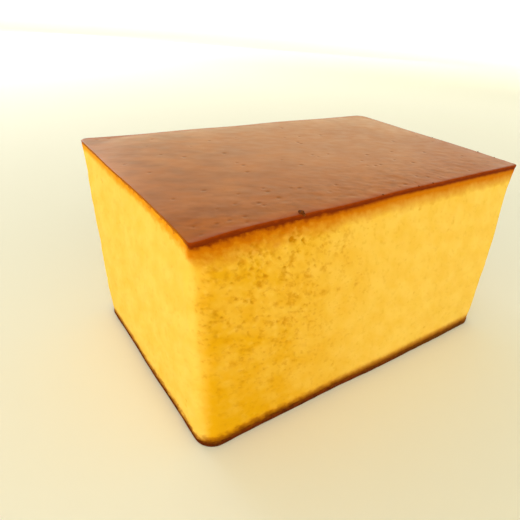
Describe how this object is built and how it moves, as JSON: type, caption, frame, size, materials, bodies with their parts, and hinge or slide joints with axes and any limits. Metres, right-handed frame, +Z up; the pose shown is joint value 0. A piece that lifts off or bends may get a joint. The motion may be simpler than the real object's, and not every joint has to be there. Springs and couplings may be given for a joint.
{
  "type": "castella sponge cake",
  "caption": "Rectangular block of castella sponge cake, cut from a loaf: fine yellow crumb on its sides, a thin brown skin on top and a dark baked base.",
  "frame": {"origin": "on the table, under the middle of the cake's bounding box", "axes": "+X along the cake's length, +Y from the front cut to the back cut, +Z up through the top skin"},
  "size_m": [0.1226, 0.0814, 0.0652],
  "materials": {
    "sponge": "soft matt sponge crumb with fine open bubbles",
    "top_skin": "thin brown baked skin with a satin sheen",
    "base_skin": "matt dark brown baked base"
  },
  "bodies": {
    "root": {"castella": "sponge"}
  },
  "joints": []
}
